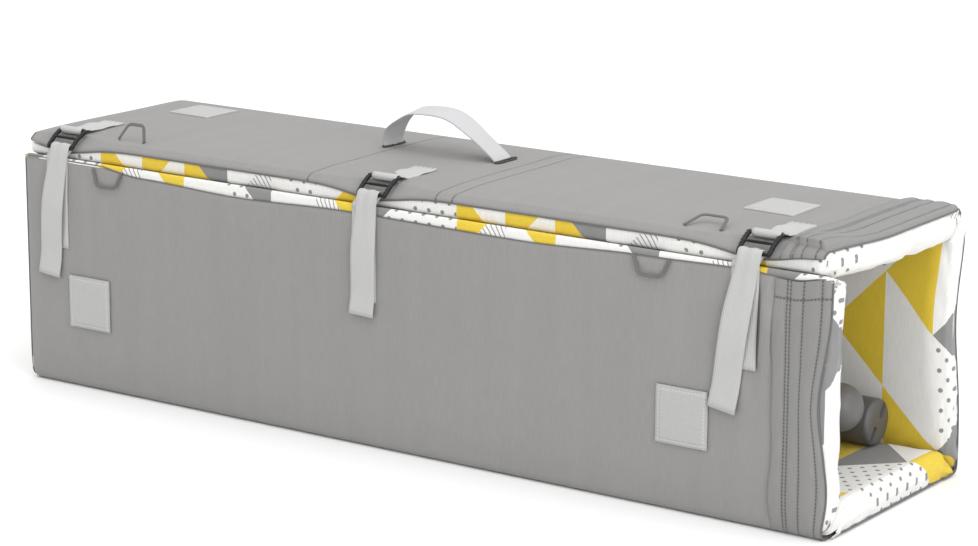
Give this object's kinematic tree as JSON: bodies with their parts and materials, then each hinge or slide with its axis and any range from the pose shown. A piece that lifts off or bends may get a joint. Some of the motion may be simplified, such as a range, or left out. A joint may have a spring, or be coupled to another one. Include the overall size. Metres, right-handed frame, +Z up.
{
  "type": "folding playpen",
  "caption": "Folding playpen packed away: its padded floor mat is folded into a long strapped carrying case round the folded frame.",
  "frame": {"origin": "centre of the underside of the packed case", "axes": "+X along the case towards the banded open end, -Y the strapped front, +Z up"},
  "size_m": [1, 0.2718, 0.321],
  "materials": {
    "grey_cloth": "matt woven polyester",
    "printed_cloth": "matt printed woven polyester",
    "board": "raw fibreboard",
    "foam": "open-cell foam",
    "webbing": "woven webbing",
    "handle_webbing": "woven webbing",
    "loop_patch": "brushed loop pile",
    "pull_tape": "woven tape",
    "black_plastic": "moulded acetal",
    "painted_tube": "powder-coated steel",
    "grey_plastic": "moulded polypropylene, fine grain",
    "light_grey_plastic": "moulded polypropylene, fine grain",
    "button_plastic": "moulded polypropylene",
    "pin_steel": "zinc-plated steel",
    "netting": "knitted polyester netting"
  },
  "bodies": {
    "bottom_panel": {"bottom_cover": "grey_cloth", "bottom_lining": "printed_cloth", "bottom_board": "board", "bottom_foam": "foam", "bottom_end_band": "grey_cloth"},
    "front_panel": {"front_cover": "grey_cloth", "front_lining": "printed_cloth", "front_board": "board", "front_foam": "foam", "front_end_band": "grey_cloth", "left_sewn_strap": "webbing", "middle_sewn_strap": "webbing", "right_sewn_strap": "webbing", "left_strap_loop": "webbing", "middle_strap_loop": "webbing", "right_strap_loop": "webbing", "front_patches": "loop_patch"},
    "back_panel": {"back_cover": "grey_cloth", "back_lining": "printed_cloth", "back_board": "board", "back_foam": "foam", "back_end_band": "grey_cloth"},
    "top_panel": {"top_cover": "grey_cloth", "top_lining": "printed_cloth", "top_board": "board", "top_foam": "foam", "top_end_band": "grey_cloth", "left_buckle_tab": "webbing", "middle_buckle_tab": "webbing", "right_buckle_tab": "webbing", "top_patches": "loop_patch", "handle_ends": "handle_webbing", "handle_slot_trims": "black_plastic"},
    "folded_frame": {"leg_tubes": "painted_tube", "slotted_feet": "grey_plastic", "domed_feet": "light_grey_plastic", "corner_castings": "grey_plastic", "rail_tubes": "painted_tube", "rail_latches": "grey_plastic", "hinge_pins": "pin_steel", "arm_brackets": "grey_plastic", "base_arms": "painted_tube", "centre_hub": "grey_plastic", "net_bundle": "netting"},
    "handle": {"handle_grip": "handle_webbing"},
    "left_tail": {"left_strap_tail": "webbing"},
    "left_buckle_body": {"left_buckle": "black_plastic"},
    "middle_tail": {"middle_strap_tail": "webbing"},
    "middle_buckle_body": {"middle_buckle": "black_plastic"},
    "right_tail": {"right_strap_tail": "webbing"},
    "right_buckle_body": {"right_buckle": "black_plastic"},
    "front_left_loop": {"front_left_pull": "pull_tape"},
    "front_right_loop": {"front_right_pull": "pull_tape"},
    "top_left_loop": {"top_left_pull": "pull_tape"},
    "top_right_loop": {"top_right_pull": "pull_tape"},
    "button_1": {"latch_button_1": "button_plastic"},
    "button_2": {"latch_button_2": "button_plastic"},
    "button_3": {"latch_button_3": "button_plastic"},
    "button_4": {"latch_button_4": "button_plastic"}
  },
  "joints": [
    {"name": "front_fold", "type": "hinge", "parent": "bottom_panel", "child": "front_panel", "pos_m": [0, -0.134, 0], "axis": [1, 0, 0], "range_deg": [0, 90], "deforming": ["left_strap_loop", "middle_strap_loop", "right_strap_loop"]},
    {"name": "back_fold", "type": "hinge", "parent": "bottom_panel", "child": "back_panel", "pos_m": [0, 0.134, 0], "axis": [-1, 0, 0], "range_deg": [0, 90]},
    {"name": "top_fold", "type": "hinge", "parent": "back_panel", "child": "top_panel", "pos_m": [0, 0.134, 0.274], "axis": [-1, 0, 0], "range_deg": [0, 90]},
    {"name": "handle_flop", "type": "hinge", "parent": "top_panel", "child": "handle", "pos_m": [-0.055, 0.04, 0.291], "axis": [1, 0, 0], "range_deg": [-75, 75]},
    {"name": "frame_slide", "type": "slide", "parent": "bottom_panel", "child": "folded_frame", "axis": [1, 0, 0], "range_m": [0, 0.86]},
    {"name": "left_tail_lift", "type": "hinge", "parent": "front_panel", "child": "left_tail", "pos_m": [-0.446, -0.1363, 0.258], "axis": [-1, 0, 0], "range_deg": [0, 150]},
    {"name": "left_buckle_lift", "type": "hinge", "parent": "top_panel", "child": "left_buckle_body", "pos_m": [-0.449, -0.108, 0.279], "axis": [-1, 0, 0], "range_deg": [0, 110]},
    {"name": "middle_tail_lift", "type": "hinge", "parent": "front_panel", "child": "middle_tail", "pos_m": [-0.031, -0.1363, 0.258], "axis": [-1, 0, 0], "range_deg": [0, 150]},
    {"name": "middle_buckle_lift", "type": "hinge", "parent": "top_panel", "child": "middle_buckle_body", "pos_m": [-0.029, -0.108, 0.279], "axis": [-1, 0, 0], "range_deg": [0, 110]},
    {"name": "right_tail_lift", "type": "hinge", "parent": "front_panel", "child": "right_tail", "pos_m": [0.411, -0.1363, 0.258], "axis": [-1, 0, 0], "range_deg": [0, 150]},
    {"name": "right_buckle_lift", "type": "hinge", "parent": "top_panel", "child": "right_buckle_body", "pos_m": [0.413, -0.108, 0.279], "axis": [-1, 0, 0], "range_deg": [0, 110]},
    {"name": "front_left_pull_lift", "type": "hinge", "parent": "front_panel", "child": "front_left_loop", "pos_m": [-0.377, -0.1347, 0.2476], "axis": [-1, 0, 0], "range_deg": [0, 150]},
    {"name": "front_right_pull_lift", "type": "hinge", "parent": "front_panel", "child": "front_right_loop", "pos_m": [0.306, -0.1347, 0.2476], "axis": [-1, 0, 0], "range_deg": [0, 150]},
    {"name": "top_left_pull_lift", "type": "hinge", "parent": "top_panel", "child": "top_left_loop", "pos_m": [-0.37, -0.104, 0.2747], "axis": [1, 0, 0], "range_deg": [0, 100]},
    {"name": "top_right_pull_lift", "type": "hinge", "parent": "top_panel", "child": "top_right_loop", "pos_m": [0.344, -0.104, 0.2747], "axis": [1, 0, 0], "range_deg": [0, 145]},
    {"name": "latch_button_1_press", "type": "slide", "parent": "folded_frame", "child": "button_1", "axis": [0, 0, -1], "range_m": [0, 0.004], "stiffness_N_per_m": 600, "springref_m": -0.001},
    {"name": "latch_button_2_press", "type": "slide", "parent": "folded_frame", "child": "button_2", "axis": [0, 0, -1], "range_m": [0, 0.004], "stiffness_N_per_m": 600, "springref_m": -0.001},
    {"name": "latch_button_3_press", "type": "slide", "parent": "folded_frame", "child": "button_3", "axis": [0, 0, -1], "range_m": [0, 0.004], "stiffness_N_per_m": 600, "springref_m": -0.001},
    {"name": "latch_button_4_press", "type": "slide", "parent": "folded_frame", "child": "button_4", "axis": [0, 0, -1], "range_m": [0, 0.004], "stiffness_N_per_m": 600, "springref_m": -0.001}
  ]
}
